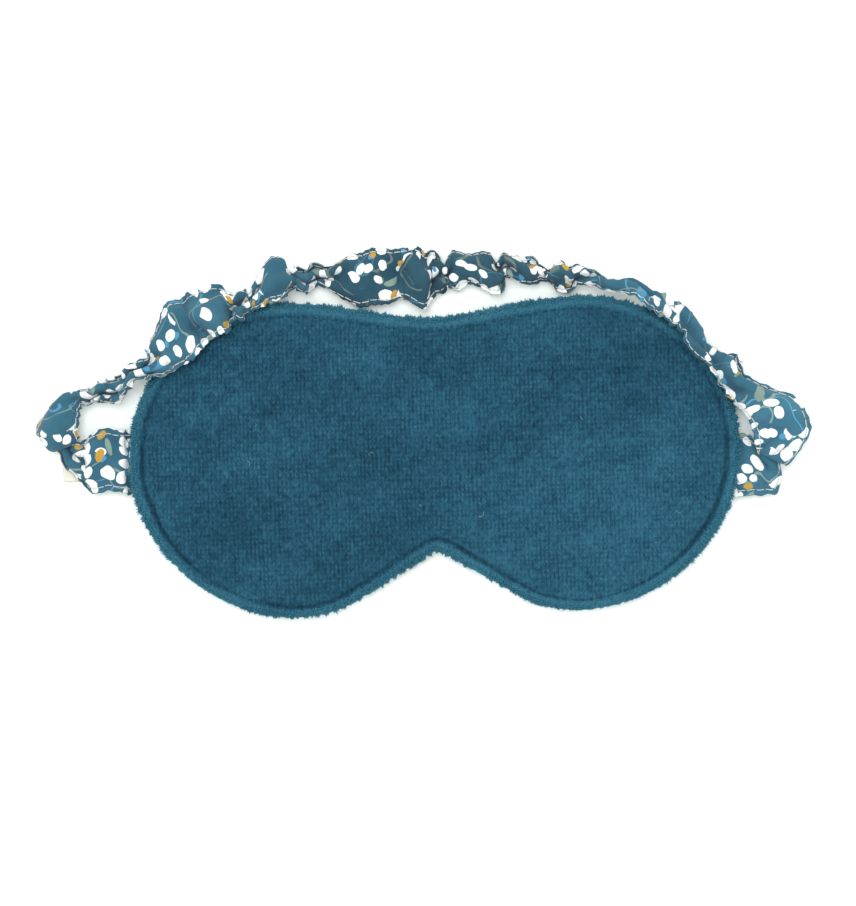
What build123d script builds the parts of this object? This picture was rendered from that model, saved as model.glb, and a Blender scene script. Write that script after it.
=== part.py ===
from build123d import *
import math
import os

# A padded fabric eye mask with a gathered elastic head strap, lying flat with its skin side up.
# Frame: the origin is on the surface that the mask lies on, under the middle of the mask.
# +X runs along its width, +Y to its brow edge and +Z out of its skin side. All sizes are in millimetres.

# ---- mask outline: cubic curves for the right half, mirrored for the left ----
SIDE_X = 102.5                  # widest point, at y 0
SHOULDER = (50.0, 52.3)         # top of the brow edge over each eye
DIP_Y = 46.2                    # brow edge on the centre line
LOBE = (48.0, -52.8)            # lowest point under each eye
NOTCH_START = (28.0, -47.8)     # where the straight side of the nose notch begins
NOTCH_END = (4.0, -33.4)        # where it turns into the rounded top of the notch
NOTCH_Y = -31.6                 # top of the nose notch on the centre line
OFFSET_POINTS = 13              # points that carry each curve when it is moved inwards

# ---- mask layers, from the surface up ----
SEAM_Z = 3.2                    # the two panels meet here
MASK_TOP = 8.0
PRINT_THICK = 0.8
LINING_THICK = 0.3
TERRY_THICK = 2.5
TOP_ROUND = 3.0
BOTTOM_ROUND = 1.5
RIM = 7.2                       # turned seam allowances, in from the edge

# ---- threads ----
THREAD = 0.5
EDGE_SEAM_INSET = 1.2
TOPSTITCH_INSET = 4.6
TOPSTITCH_WIDTH = 0.6
TOPSTITCH_SINK = 1.2            # the stitch pulls the pile down by this much

# ---- strap ----
STRAP_WIDTH = 22.4              # flat width of the casing at its sewn ends
LOWER_EDGE_LEFT_Y = -10.4       # the strap's lower edge where it leaves the mask's left side
LOWER_EDGE_RIGHT_Y = -16.5      # and its right side
STRAP_END_INNER = 95.8          # how far in the sewn ends reach, along the strap's axis
STRAP_END_LEFT = 117.0          # where they meet the free strap
STRAP_END_RIGHT = 112.0
END_BOTTOM = 2.2
END_TOP = 4.2
GATHER_THICK = 5.0              # bulk of the gathered casing
ELASTIC_WIDTH = 8.0
ELASTIC_THICK = 1.2
ELASTIC_SIDE = 1.25             # least fabric beside the elastic
CASING_STITCH_INSET = 1.2
GROOVE_DEPTH = 0.7              # the edge stitching lies in a groove this deep
BODY_GAP = 0.3                  # between parts that move apart
TACK_AT = 97.4                  # the row of stitches that holds each sewn end
TACK_STITCHES = 7

# Stations of the free strap: x, y, middle height and width of the gathered casing.
LEFT_LEG = [
    (-119.9, -8.5, 3.7, 4.0),
    (-120.6, -3.0, 3.7, 5.6),
    (-121.4, 3.0, 3.7, 7.2),
    (-124.2, 8.5, 3.7, 13.0),
    (-125.6, 14.0, 3.7, 15.5),
    (-121.8, 18.6, 3.7, 12.5),
    (-115.1, 23.9, 3.9, 10.1),
    (-107.2, 26.8, 5.0, 8.8),
    (-101.4, 30.1, 8.6, 8.1),
    (-95.2, 34.2, 10.9, 10.1),
    (-87.6, 40.7, 10.9, 18.2),
    (-77.0, 47.2, 10.9, 20.4),
    (-68.5, 50.4, 10.9, 13.0),
    (-60.9, 55.4, 10.9, 14.2),
    (-53.0, 59.2, 9.5, 14.0),
    (-46.6, 60.9, 6.0, 12.0),
]
BOW = [
    (-46.3, 60.9, 6.0, 12.0),
    (-40.6, 61.6, 3.8, 9.4),
    (-35.1, 63.0, 3.4, 8.8),
    (-28.7, 62.4, 3.4, 14.8),
    (-15.3, 60.8, 3.4, 20.2),
    (-3.5, 60.6, 3.4, 20.4),
    (3.3, 62.4, 3.4, 13.5),
    (10.1, 62.0, 3.4, 12.8),
    (20.1, 60.9, 3.4, 13.5),
    (28.6, 61.4, 3.4, 12.1),
    (35.3, 60.8, 3.4, 10.8),
    (43.8, 60.5, 3.4, 9.4),
    (50.3, 59.1, 3.8, 8.1),
    (54.7, 57.6, 4.4, 7.6),
]
RIGHT_LEG = [
    (55.0, 57.5, 4.4, 7.6),
    (60.5, 55.9, 8.0, 7.0),
    (65.5, 53.8, 10.9, 6.6),
    (72.1, 50.1, 10.9, 7.0),
    (78.8, 45.8, 10.9, 9.4),
    (85.4, 40.9, 10.9, 11.5),
    (90.3, 35.1, 10.9, 10.1),
    (95.2, 29.2, 10.9, 8.5),
    (100.1, 24.4, 10.0, 8.8),
    (105.4, 19.2, 8.4, 11.0),
    (111.4, 13.6, 8.0, 14.0),
    (118.2, 5.5, 7.8, 11.2),
    (118.6, 0.0, 6.0, 11.2),
    (117.7, -6.0, 4.4, 9.0),
    (115.6, -12.5, 4.0, 4.6),
]

# ---- care label, a folded tape sewn into the left side seam ----
LABEL_Y = (-5.5, 8.5)
LABEL_SIDE = [                  # its side view, x and z: out of the seam, down to the surface and along it
    (-96.5, 1.4),
    (-96.5, 2.1),
    (-103.0, 2.1),
    (-111.0, 0.8),
    (-126.0, 0.8),
    (-126.0, 0.1),
    (-111.2, 0.1),
    (-103.2, 1.4),
]

# The strap swings about the line along the lower edges of its two sewn ends.
AXIS_Y = (LOWER_EDGE_LEFT_Y + LOWER_EDGE_RIGHT_Y) / 2
AXIS_TURN = math.degrees(math.atan2(LOWER_EDGE_RIGHT_Y - LOWER_EDGE_LEFT_Y, 2 * SIDE_X))
STRAP_FRAME = Location((0, AXIS_Y, 0), (0, 0, AXIS_TURN))


def outline_curves():
    """Control points of the whole outline, clockwise from the middle of the brow edge."""
    sx, sy = SHOULDER
    lx, ly = LOBE
    (x1, y1), (x2, y2) = NOTCH_START, NOTCH_END
    slope = (y2 - y1) / (x2 - x1)
    half = [
        [(0, DIP_Y), (14, DIP_Y), (32, sy), (sx, sy)],
        [(sx, sy), (76, sy), (SIDE_X, 33), (SIDE_X, 0)],
        [(SIDE_X, 0), (SIDE_X, -28), (76, ly), (lx, ly)],
        [(lx, ly), (40, ly), (x1 + 5.3, y1 + 5.3 * slope), (x1, y1)],
        [(x1, y1), (x2, y2)],
        [(x2, y2), (x2 - 1.67, y2 - 1.67 * slope), (1.2, NOTCH_Y), (0, NOTCH_Y)],
    ]
    other_half = [[(-x, y) for x, y in reversed(points)] for points in reversed(half)]
    return half + other_half


def mask_face(distance=0):
    """The mask's outline as a flat face, moved in by a distance."""
    edges = []
    for points in outline_curves():
        curve = Bezier(*points) if len(points) > 2 else Line(*points)
        if distance:
            count = OFFSET_POINTS if len(points) > 2 else 2
            moved, ways = [], []
            for i in range(count):
                way = curve.tangent_at(i / (count - 1))
                moved.append(curve.position_at(i / (count - 1)) + Vector(way.Y, -way.X, 0) * distance)
                ways.append(way)
            curve = Line(*moved) if count == 2 else Spline(*moved, tangents=[ways[0], ways[-1]])
        edges.append(curve)
    return Face(Wire(edges))


def slab(face, low, high):
    """The face as a plate from one height to another."""
    return Pos(0, 0, low) * extrude(face, amount=high - low, dir=(0, 0, 1))


def ring(distance, width, low, high):
    """A band that follows the outline, some distance in from it."""
    return slab(mask_face(distance), low, high) - slab(mask_face(distance + width), low, high)


def strap_box(u_from, u_to, v_from, v_to, low, high):
    """A box in the strap's own frame: u along its axis, v across it from the lower edge."""
    size = (u_to - u_from, v_to - v_from, high - low)
    middle = ((u_from + u_to) / 2, (v_from + v_to) / 2, (low + high) / 2)
    return STRAP_FRAME * Pos(*middle) * Box(*size)


def headings(stations):
    """The direction of travel at each station, as an angle in plan."""
    last = len(stations) - 1
    angles = []
    for i in range(len(stations)):
        before = stations[max(i - 1, 0)]
        after = stations[min(i + 1, last)]
        angles.append(math.degrees(math.atan2(after[1] - before[1], after[0] - before[0])))
    return angles


def band(stations, angles, section):
    """A closed band through the stations, with straight-sided spans between upright sections."""
    sections = []
    for (x, y, z, width), angle in zip(stations, angles):
        plane = Plane(origin=(x, y, z), x_dir=Vector(0, 1, 0).rotate(Axis.Z, angle),
                      z_dir=Vector(1, 0, 0).rotate(Axis.Z, angle))
        sections.append(plane * section(width))
    return loft(sections, ruled=True)


def elastic_width(width):
    return min(ELASTIC_WIDTH, width - 2 * ELASTIC_SIDE)


def elastic_thick(width):
    """The flat elastic bunches up where the strap is narrow, and keeps its area."""
    return min(ELASTIC_WIDTH * ELASTIC_THICK / elastic_width(width), GATHER_THICK - 2.0)


def casing_section(width):
    """The gathered casing, with a groove for the stitching near each edge of its upper side."""
    edge, top = width / 2, GATHER_THICK / 2
    near, far = edge - CASING_STITCH_INSET + THREAD / 2, edge - CASING_STITCH_INSET - THREAD / 2
    floor = top - GROOVE_DEPTH
    upper = [(edge, top), (near, top), (near, floor), (far, floor), (far, top)]
    other_edge = [(-x, z) for x, z in reversed(upper)]
    return make_face(Polyline(*upper, *other_edge, (-edge, -top), (edge, -top), close=True))


def free_strap(stations, angles):
    """Casing, elastic and the two edge stitch lines along one stretch of the free strap."""
    elastic = band(stations, angles, lambda w: Rectangle(elastic_width(w), elastic_thick(w)))
    casing = band(stations, angles, casing_section) - elastic
    level = GATHER_THICK / 2 - GROOVE_DEPTH + THREAD / 2
    stitches = []
    for side in (-1, 1):
        def stitch_section(width, side=side):
            return Pos(side * (width / 2 - CASING_STITCH_INSET), level) * Rectangle(THREAD, THREAD)
        stitches.append(band(stations, angles, stitch_section))
    return casing, elastic, stitches


def sewn_end(inner, outer):
    """Casing, elastic, edge stitching and tack of a sewn end that runs from inner to outer along the axis."""
    low, high = min(inner, outer), max(inner, outer)
    tack_at = math.copysign(TACK_AT, outer)
    middle = STRAP_WIDTH / 2
    half = ELASTIC_WIDTH / 2
    centre_z = (END_BOTTOM + END_TOP) / 2
    tack_from, tack_to = tack_at - THREAD / 2, tack_at + THREAD / 2
    tack = (strap_box(tack_from, tack_to, 2.0, STRAP_WIDTH - 2.0, END_TOP, END_TOP + THREAD)
            + strap_box(tack_from, tack_to, 2.0, STRAP_WIDTH - 2.0, END_BOTTOM - THREAD, END_BOTTOM))
    for i in range(TACK_STITCHES):
        v = 2.0 + (STRAP_WIDTH - 4.0 - THREAD) * i / (TACK_STITCHES - 1)
        tack += strap_box(tack_from, tack_to, v, v + THREAD, END_BOTTOM, END_TOP)
    elastic = strap_box(low, high, middle - half, middle + half,
                        centre_z - ELASTIC_THICK / 2, centre_z + ELASTIC_THICK / 2) - tack
    stitches = [
        strap_box(low, high, v - THREAD / 2, v + THREAD / 2, END_TOP - THREAD, END_TOP)
        for v in (CASING_STITCH_INSET, STRAP_WIDTH - CASING_STITCH_INSET)
    ]
    casing = strap_box(low, high, 0, STRAP_WIDTH, END_BOTTOM, END_TOP)
    casing = casing - elastic - tack - stitches[0] - stitches[1]
    return casing, elastic, Compound(children=stitches), tack


def care_label():
    low, high = LABEL_Y
    side = make_face(Polyline(*LABEL_SIDE, close=True))
    return Plane.XZ.offset(-high) * extrude(side, amount=high - low)


def mask_parts(sewn_in):
    """The padded mask: two panels, the layers between them and the threads round its edge."""
    whole = slab(mask_face(), 0, MASK_TOP)
    whole = fillet(whole.edges().group_by(Axis.Z)[-1], TOP_ROUND)
    whole = fillet(whole.edges().group_by(Axis.Z)[0], BOTTOM_ROUND)
    inside = mask_face(RIM)
    lining_top = PRINT_THICK + LINING_THICK
    wadding_top = MASK_TOP - TERRY_THICK
    lining = slab(inside, PRINT_THICK, lining_top)
    wadding = slab(inside, lining_top, wadding_top)

    edge_seam = ring(EDGE_SEAM_INSET, THREAD, SEAM_Z - THREAD / 2, SEAM_Z + THREAD / 2)
    stitch_top = MASK_TOP - TOPSTITCH_SINK
    groove = ring(TOPSTITCH_INSET, TOPSTITCH_WIDTH, stitch_top - THREAD, MASK_TOP + 1)
    needle_thread = ring(TOPSTITCH_INSET, TOPSTITCH_WIDTH, stitch_top - THREAD, stitch_top)
    bobbin_groove = ring(TOPSTITCH_INSET, TOPSTITCH_WIDTH, -1, THREAD)
    bobbin_thread = ring(TOPSTITCH_INSET, TOPSTITCH_WIDTH, THREAD / 5, THREAD)

    cavity = slab(inside, PRINT_THICK, wadding_top)
    upper_half = Pos(0, 0, SEAM_Z + 25) * Box(400, 400, 50)
    terry = (whole & upper_half) - cavity - groove - edge_seam
    printed = (whole - upper_half) - cavity - bobbin_groove - edge_seam
    for piece in sewn_in:
        terry -= piece
        printed -= piece
    return {
        "terry_panel": terry,
        "wadding": wadding,
        "light_block_lining": lining,
        "print_panel": printed,
        "edge_seam_thread": edge_seam,
        "topstitch_needle_thread": needle_thread,
        "topstitch_bobbin_thread": bobbin_thread,
    }


def build():
    parts = {}
    label = care_label()
    left = sewn_end(-STRAP_END_INNER, -STRAP_END_LEFT)
    right = sewn_end(STRAP_END_INNER, STRAP_END_RIGHT)
    mask = mask_parts([*left, *right, label])
    label = label - left[3]
    parts.update(mask)
    for side, (casing, elastic, stitches, tack) in (("left", left), ("right", right)):
        edge_seam = mask["edge_seam_thread"]
        parts[f"casing_end_{side}"] = casing - edge_seam
        parts[f"elastic_end_{side}"] = elastic - edge_seam
        parts[f"casing_end_stitch_{side}"] = stitches
        parts[f"strap_tack_{side}"] = tack
    parts["care_label"] = label

    for name, stations in (("leg_left", LEFT_LEG), ("bow", BOW), ("leg_right", RIGHT_LEG)):
        angles = headings(stations)
        if name != "leg_left":
            angles[0] = AXIS_TURN       # its first face slides along its neighbour
        if name != "leg_right":
            angles[-1] = AXIS_TURN
        casing, elastic, stitches = free_strap(stations, angles)
        parts[f"casing_{name}"] = casing
        parts[f"elastic_{name}"] = elastic
        parts[f"brow_stitch_{name}"] = stitches[1]
        parts[f"face_stitch_{name}"] = stitches[0]
    return parts


os.makedirs("parts", exist_ok=True)
for node, shape in build().items():
    export_step(shape, f"parts/{node}.step")
    print(node, len(shape.solids()), round(shape.volume, 1))
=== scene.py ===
import math

import bmesh
import bpy
import numpy as np
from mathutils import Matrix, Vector


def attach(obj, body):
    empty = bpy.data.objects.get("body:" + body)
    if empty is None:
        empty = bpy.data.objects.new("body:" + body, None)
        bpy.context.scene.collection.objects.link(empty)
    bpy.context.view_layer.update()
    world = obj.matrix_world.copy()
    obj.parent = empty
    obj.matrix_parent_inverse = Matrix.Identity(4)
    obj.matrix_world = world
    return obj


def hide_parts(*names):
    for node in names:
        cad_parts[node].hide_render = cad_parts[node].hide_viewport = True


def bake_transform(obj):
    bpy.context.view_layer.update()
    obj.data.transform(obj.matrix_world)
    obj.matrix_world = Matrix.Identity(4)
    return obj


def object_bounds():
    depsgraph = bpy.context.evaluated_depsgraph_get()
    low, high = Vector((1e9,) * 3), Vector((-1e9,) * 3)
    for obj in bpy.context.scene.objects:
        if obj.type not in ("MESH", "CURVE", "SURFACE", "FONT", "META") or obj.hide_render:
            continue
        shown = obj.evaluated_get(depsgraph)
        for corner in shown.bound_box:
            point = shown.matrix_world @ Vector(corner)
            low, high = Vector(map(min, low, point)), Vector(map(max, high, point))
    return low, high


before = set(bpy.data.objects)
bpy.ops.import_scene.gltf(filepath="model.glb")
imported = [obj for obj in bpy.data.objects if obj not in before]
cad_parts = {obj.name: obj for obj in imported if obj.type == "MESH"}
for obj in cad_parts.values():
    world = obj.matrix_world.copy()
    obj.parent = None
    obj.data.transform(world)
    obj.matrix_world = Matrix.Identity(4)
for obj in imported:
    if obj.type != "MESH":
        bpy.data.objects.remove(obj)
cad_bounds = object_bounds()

MM = 0.001
rng = np.random.default_rng(7)


# ---- small helpers

def srgb(r, g, b):
    """A display colour, 0 to 255 a channel, as the linear colour the shaders take."""
    out = []
    for value in (r, g, b):
        value /= 255
        out.append(value / 12.92 if value <= 0.04045 else ((value + 0.055) / 1.055) ** 2.4)
    return (*out, 1.0)


# how much light the lamps put on a flat cloth, as a multiple of what would show it at its own colour
BRIGHT = 1.5


def seen(r, g, b):
    """The colour of a cloth that looks like the given display colour under these lamps."""
    return (*[value / BRIGHT for value in srgb(r, g, b)[:3]], 1.0)


def smooth(low, high, x):
    """0 at low, 1 at high and a smooth step between."""
    t = np.clip((np.asarray(x, float) - low) / (high - low), 0, 1)
    return t * t * (3 - 2 * t)


def unit(v):
    """The vectors at length 1."""
    return v / np.maximum(np.linalg.norm(v, axis=-1, keepdims=True), 1e-9)


def ripple(x, y, seed, wavelength):
    """Smooth, unrepeating bumps of about one wavelength, between -1 and 1."""
    local = np.random.default_rng(seed)
    total = 0
    for _ in range(9):
        way = local.uniform(0, 2 * math.pi)
        stretch = local.uniform(0.7, 1.5)
        phase = local.uniform(0, 2 * math.pi)
        k = 2 * math.pi / (wavelength * stretch)
        total = total + np.sin(k * (np.cos(way) * x + np.sin(way) * y) + phase)
    return total / 4.5


def mesh_piece(name, verts_mm, faces, material, uv=None, **values):
    """A closed mesh from points in millimetres, with one material, and optional UV and point values."""
    mesh = bpy.data.meshes.new(name)
    mesh.from_pydata((np.asarray(verts_mm) * MM).tolist(), [], [list(map(int, f)) for f in faces])
    shell = bmesh.new()
    shell.from_mesh(mesh)
    bmesh.ops.recalc_face_normals(shell, faces=shell.faces)
    shell.to_mesh(mesh)
    shell.free()
    if uv is not None:
        layer = mesh.uv_layers.new(name="cloth")
        index = np.empty(len(mesh.loops), np.int32)
        mesh.loops.foreach_get("vertex_index", index)
        layer.data.foreach_set("uv", np.asarray(uv, np.float32)[index].ravel())
    for key, value in values.items():
        attribute = mesh.attributes.new(key, "FLOAT", "POINT")
        attribute.data.foreach_set("value", np.asarray(value, np.float32).ravel())
    mesh.materials.append(material)
    mesh.polygons.foreach_set("use_smooth", [True] * len(mesh.polygons))
    mesh.update()
    piece = bpy.data.objects.new(name, mesh)
    bpy.context.scene.collection.objects.link(piece)
    return piece


def grid_faces(rows, columns, first=0):
    """Quads of a tube of rings, whose points are stored ring by ring."""
    i, j = np.meshgrid(np.arange(rows - 1), np.arange(columns), indexing="ij")
    k = (j + 1) % columns
    quads = np.stack([i * columns + j, i * columns + k, (i + 1) * columns + k, (i + 1) * columns + j], -1)
    return (quads.reshape(-1, 4) + first).tolist()


def two_ply_faces(rows, columns):
    """Faces of a flat tube with closed ends: each ring runs over the upper ply and back over the lower."""
    faces = grid_faces(rows, columns)
    for base, turn in ((0, 1), ((rows - 1) * columns, -1)):
        for j in range(columns // 2 - 1):
            quad = [base + j, base + columns - 1 - j, base + columns - 2 - j, base + j + 1]
            faces.append(quad[::turn])
    return faces


def threads(name, lines, radii, sides, up, material):
    """Round threads along lines of points, with a thickness at each point."""
    verts, faces = [], []
    turn = (2 * math.pi * np.arange(sides) / sides)[:, None]
    for line in lines:
        way = unit(np.gradient(line, axis=0))
        side = unit(np.cross(way, up))
        other = np.cross(way, side)
        ring = side[:, None] * np.cos(turn) + other[:, None] * np.sin(turn)
        first = len(verts)
        last = first + (len(line) - 1) * sides
        faces += grid_faces(len(line), sides, first)
        faces += [list(range(first, first + sides))[::-1], list(range(last, last + sides))]
        verts += (line[:, None] + ring * np.array(radii)[:, None, None]).reshape(-1, 3).tolist()
    return mesh_piece(name, verts, faces, material)


# ---- shader helpers

class Nodes:
    """Builds one material's node tree with short calls."""

    def __init__(self, name):
        self.material = bpy.data.materials.new(name)
        self.material.use_nodes = True
        self.tree = self.material.node_tree
        self.shader = self.tree.nodes["Principled BSDF"]

    def link(self, value, socket):
        if isinstance(value, bpy.types.NodeSocket):
            self.tree.links.new(value, socket)
        else:
            socket.default_value = value

    def new(self, kind, inputs=(), **settings):
        node = self.tree.nodes.new(kind)
        for key, value in settings.items():
            setattr(node, key, value)
        for key, value in dict(inputs).items():
            self.link(value, node.inputs[key])
        return node

    def math(self, operation, a, b=0.0, c=0.0):
        return self.new("ShaderNodeMath", {0: a, 1: b, 2: c}, operation=operation).outputs[0]

    def vector(self, operation, a, b=(0, 0, 0)):
        node = self.new("ShaderNodeVectorMath", {0: a, 1: b}, operation=operation)
        return node.outputs["Value" if operation in ("LENGTH", "DOT_PRODUCT") else "Vector"]

    def scaled(self, vector, factor):
        """A vector or a colour times a factor."""
        return self.new("ShaderNodeVectorMath", {0: vector, "Scale": factor}, operation="SCALE").outputs[0]

    def object_mm(self):
        return self.scaled(self.new("ShaderNodeTexCoord").outputs["Object"], 1000.0)

    def cloth_mm(self):
        return self.scaled(self.new("ShaderNodeUVMap", uv_map="cloth").outputs[0], 1000.0)

    def attribute(self, name):
        return self.new("ShaderNodeAttribute", attribute_name=name).outputs["Fac"]

    def xyz(self, vector):
        return self.new("ShaderNodeSeparateXYZ", {0: vector}).outputs

    def wave(self, value, period, operation="SINE"):
        return self.math(operation, self.math("MULTIPLY", value, 2 * math.pi / period))

    def noise(self, at, scale, detail=2.0, rough=0.5, output="Fac"):
        inputs = {"Vector": at, "Scale": scale, "Detail": detail, "Roughness": rough}
        return self.new("ShaderNodeTexNoise", inputs).outputs[output]

    def wobble(self, at, scale, detail, amount):
        """A small shift that differs from place to place."""
        way = self.vector("SUBTRACT", self.noise(at, scale, detail, output="Color"), (0.5, 0.5, 0.5))
        return self.scaled(way, amount)

    def ramp(self, value, low, high, kind="SMOOTHSTEP"):
        inputs = {"Value": value, "From Min": low, "From Max": high}
        return self.new("ShaderNodeMapRange", inputs, interpolation_type=kind).outputs[0]

    def linear(self, value, low, high):
        return self.ramp(value, low, high, "LINEAR")

    def mix(self, factor, a, b):
        node = self.new("ShaderNodeMix", data_type="RGBA")
        self.link(factor, node.inputs[0])
        self.link(a, node.inputs[6])
        self.link(b, node.inputs[7])
        return node.outputs[2]

    def bump(self, height, distance, strength=1.0, normal=None):
        inputs = {"Height": height, "Distance": distance * MM, "Strength": strength}
        node = self.new("ShaderNodeBump", inputs)
        if normal is not None:
            self.link(normal, node.inputs["Normal"])
        return node.outputs[0]

    def finish(self, **inputs):
        for key, value in inputs.items():
            self.link(value, self.shader.inputs[key.replace("_", " ")])
        return self.material


TERRY_DARK, TERRY_MID, TERRY_LIGHT = seen(8, 36, 53), seen(33, 80, 103), seen(58, 117, 140)
NAP_TINT = srgb(90, 150, 175)
LOOP_COLUMN, LOOP_ROW = 1.39, 1.55  # millimetres from loop to loop of the terry


def terry_material():
    """Velour terry: columns and rows of loops under a brushed nap, lighter on the rim, with painted light
    towards the lower right and painted shade in the topstitch groove.
    """
    n = Nodes("velour_terry")
    at = n.object_mm()
    moved = n.vector("ADD", n.vector("ADD", at, n.wobble(at, 0.13, 2.0, 1.0)), n.wobble(at, 0.9, 1.0, 0.65))
    x, y, _ = n.xyz(moved)
    column_gap = n.ramp(n.wave(x, LOOP_COLUMN, "COSINE"), -0.1, 1.0)
    row_gap = n.ramp(n.wave(y, LOOP_ROW, "COSINE"), 0.1, 1.0)
    depth = n.attribute("edge_depth")
    inner = n.ramp(depth, 3.5, 9.0)
    bare = n.math("MULTIPLY", n.ramp(n.noise(at, 0.12, 3.0), 0.35, 0.6), inner)
    gap = n.math("MAXIMUM", n.math("MULTIPLY", column_gap, 0.85), n.math("MULTIPLY", row_gap, 0.6))
    gap = n.math("MULTIPLY", gap, n.math("MULTIPLY_ADD", bare, 0.45, 0.42))
    tuft = n.noise(n.vector("MULTIPLY", moved, (1.0, 0.8, 1.0)), 0.66, 1.0)
    nap = n.noise(n.vector("MULTIPLY", at, (0.7, 1.3, 1.0)), 0.06, 3.0, 0.6)
    fine = n.noise(n.vector("MULTIPLY", at, (1.5, 1.0, 1.0)), 2.2, 2.0, 0.6)
    loops = n.noise(n.vector("MULTIPLY", moved, (1.6, 0.7, 1.0)), 1.0, 1.0)
    tone = n.math("MULTIPLY_ADD", n.linear(tuft, 0.25, 0.75), 0.36, -0.17)
    tone = n.math("MULTIPLY_ADD", n.linear(loops, 0.25, 0.75), 0.46, tone)
    tone = n.math("MULTIPLY_ADD", n.linear(nap, 0.3, 0.7), 0.36, tone)
    tone = n.math("MULTIPLY_ADD", n.linear(fine, 0.25, 0.75), 0.30, tone)
    # painted light: the terry face lighter towards the lower right, at +x and -y
    lit = n.vector("DOT_PRODUCT", at, (0.55, -0.85, 0.0))
    tone = n.math("MULTIPLY_ADD", n.ramp(lit, 5.0, 70.0), 0.17, tone)
    tone = n.math("SUBTRACT", tone, n.math("MULTIPLY", gap, 0.42))
    streak = n.noise(at, 1.3, 2.0, 0.6)
    brow = n.math("MULTIPLY_ADD", n.ramp(y, 10.0, 45.0), 0.28, -0.1)
    rim = n.math("MULTIPLY", n.ramp(depth, 4.2, 1.5), n.math("MULTIPLY_ADD", streak, 0.75, brow))
    tone = n.math("ADD", tone, rim)
    # painted shade: the terry darkened along the topstitch groove, broken up by noise and fading out towards
    # the top
    away = n.attribute("groove_offset")
    groove_shade = n.ramp(n.math("ADD", away, n.math("MULTIPLY", n.noise(at, 0.6, 2.0), 0.9)), 1.7, 0.5)
    groove_shade = n.math("MULTIPLY", groove_shade, n.ramp(n.noise(at, 0.045, 2.0), 0.25, 0.6))
    groove_shade = n.math("MULTIPLY", groove_shade, n.ramp(y, 45.0, -5.0))
    tone = n.math("SUBTRACT", tone, n.math("MULTIPLY", groove_shade, 0.42))
    low = n.mix(n.linear(tone, -0.25, 0.42), TERRY_DARK, TERRY_MID)
    colour = n.mix(n.linear(tone, 0.42, 1.1), low, TERRY_LIGHT)
    height = n.math("SUBTRACT", n.math("MULTIPLY_ADD", tuft, 0.8, n.math("MULTIPLY", fine, 0.5)),
                    n.math("MULTIPLY", gap, 0.6))
    return n.finish(Base_Color=colour, Roughness=0.95, Normal=n.bump(height, 0.4, 0.7),
                    Sheen_Weight=0.12, Sheen_Roughness=0.5, Sheen_Tint=NAP_TINT, Specular_IOR_Level=0.1)


def pile_material():
    """The loose pile along the rim, lighter than the face: painted light, its colours raised so that tufts
    turned sideways to the lamps still look light.
    """
    n = Nodes("terry_pile")
    at = n.object_mm()
    patches = n.math("MULTIPLY", n.noise(at, 0.07, 2.0), 0.55)
    tone = n.math("MULTIPLY_ADD", n.noise(at, 1.1, 2.0), 0.7, patches)
    # painted light: the pile's colours set lighter than most of the terry face
    colour = n.mix(n.linear(tone, 0.3, 0.95), seen(44, 110, 136), seen(94, 174, 200))
    return n.finish(Base_Color=colour, Roughness=0.95, Sheen_Weight=0.15, Sheen_Roughness=0.5,
                    Sheen_Tint=NAP_TINT, Specular_IOR_Level=0.1)


def print_layer(n, at, pitch, seed, long, wide, chance):
    """One scatter of ovals over the cloth: 1 inside an oval and 0 outside."""
    shifted = n.vector("ADD", at, (seed * 37.1, seed * 17.7, 0.0))
    cells = n.new("ShaderNodeTexVoronoi", {"Vector": shifted, "Scale": 1.0 / pitch, "Randomness": 0.85},
                  voronoi_dimensions="2D", feature="F1")
    pick = n.new("ShaderNodeSeparateColor", {0: cells.outputs["Color"]})
    offset = n.vector("SUBTRACT", shifted, cells.outputs["Position"])
    turn = n.math("MULTIPLY", pick.outputs[0], 2 * math.pi)
    turned = n.new("ShaderNodeVectorRotate", {"Vector": offset, "Axis": (0, 0, 1), "Angle": turn},
                   rotation_type="AXIS_ANGLE").outputs[0]
    shaped = n.vector("MULTIPLY", turned, (1.0 / long, 1.0 / wide, 0.0))
    size = n.math("MULTIPLY_ADD", pick.outputs[1], 0.35, 0.65)
    inside = n.math("SUBTRACT", size, n.vector("LENGTH", shaped))
    there = n.math("LESS_THAN", pick.outputs[2], chance)
    return n.math("MULTIPLY", n.ramp(inside, -0.02, 0.05), there)


def stems(n, at, shift, scale, thick, patches, amount):
    """Thin wandering lines, along the middle value of a noise, in patches: 1 on a line and 0 off it."""
    bend = n.noise(n.vector("ADD", at, shift), scale, 1.0)
    line = n.ramp(n.math("ABSOLUTE", n.math("SUBTRACT", bend, 0.5)), *thick)
    return n.math("MULTIPLY", line, n.ramp(n.noise(at, patches, 0.0), *amount))


WHITE_INK = (0.77, 0.80, 0.79, 1)
YARN = 0.42  # millimetres from yarn to yarn of the printed cotton


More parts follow.
